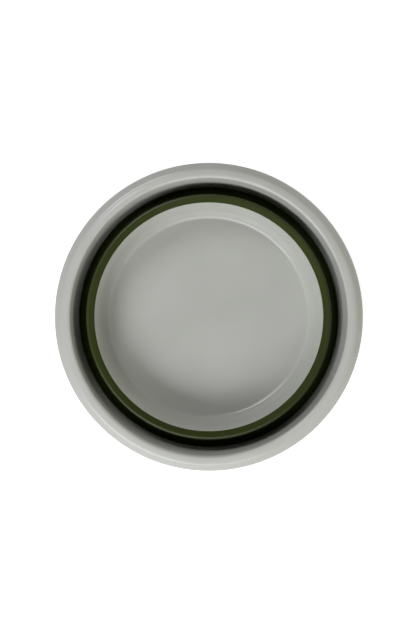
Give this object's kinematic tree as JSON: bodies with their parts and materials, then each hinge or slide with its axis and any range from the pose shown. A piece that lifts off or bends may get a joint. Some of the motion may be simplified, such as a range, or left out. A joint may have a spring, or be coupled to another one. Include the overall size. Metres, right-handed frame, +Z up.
{
  "type": "collapsible bowl",
  "caption": "Round collapsible bowl, folded flat: a rigid grey rim and base tray joined by a soft dark green wall that folds, so the rim lifts to open the bowl.",
  "frame": {"origin": "on the bowl's axis, at the underside of the foot ring that it stands on", "axes": "+Z up along the bowl's axis, the way the rim lifts; the bowl is round, so X and Y are free"},
  "size_m": [0.236, 0.236, 0.041],
  "materials": {
    "grey_plastic": "fine matte moulded polypropylene",
    "green_rubber": "matte soft thermoplastic rubber"
  },
  "bodies": {
    "base": {"base_tray": "grey_plastic", "shoulder_ring": "green_rubber"},
    "wall_1": {"wall_band_1": "green_rubber"},
    "wall_2": {"wall_band_2": "green_rubber"},
    "wall_3": {"wall_band_3": "green_rubber"},
    "wall_4": {"wall_band_4": "green_rubber"},
    "rim": {"rim": "grey_plastic", "rim_collar": "green_rubber"}
  },
  "joints": [
    {"name": "rim_lift", "type": "slide", "parent": "base", "child": "rim", "axis": [0, 0, 1], "range_m": [0, 0.0475]},
    {"name": "band_1_lift", "type": "slide", "parent": "base", "child": "wall_1", "axis": [0, 0, 1], "range_m": [0, 0.0095]},
    {"name": "band_2_lift", "type": "slide", "parent": "base", "child": "wall_2", "axis": [0, 0, 1], "range_m": [0, 0.019]},
    {"name": "band_3_lift", "type": "slide", "parent": "base", "child": "wall_3", "axis": [0, 0, 1], "range_m": [0, 0.0285]},
    {"name": "band_4_lift", "type": "slide", "parent": "base", "child": "wall_4", "axis": [0, 0, 1], "range_m": [0, 0.038]}
  ],
  "couplings": [
    {"joint": "band_1_lift", "follows": "rim_lift", "ratio": 0.2},
    {"joint": "band_2_lift", "follows": "rim_lift", "ratio": 0.4},
    {"joint": "band_3_lift", "follows": "rim_lift", "ratio": 0.6},
    {"joint": "band_4_lift", "follows": "rim_lift", "ratio": 0.8}
  ]
}
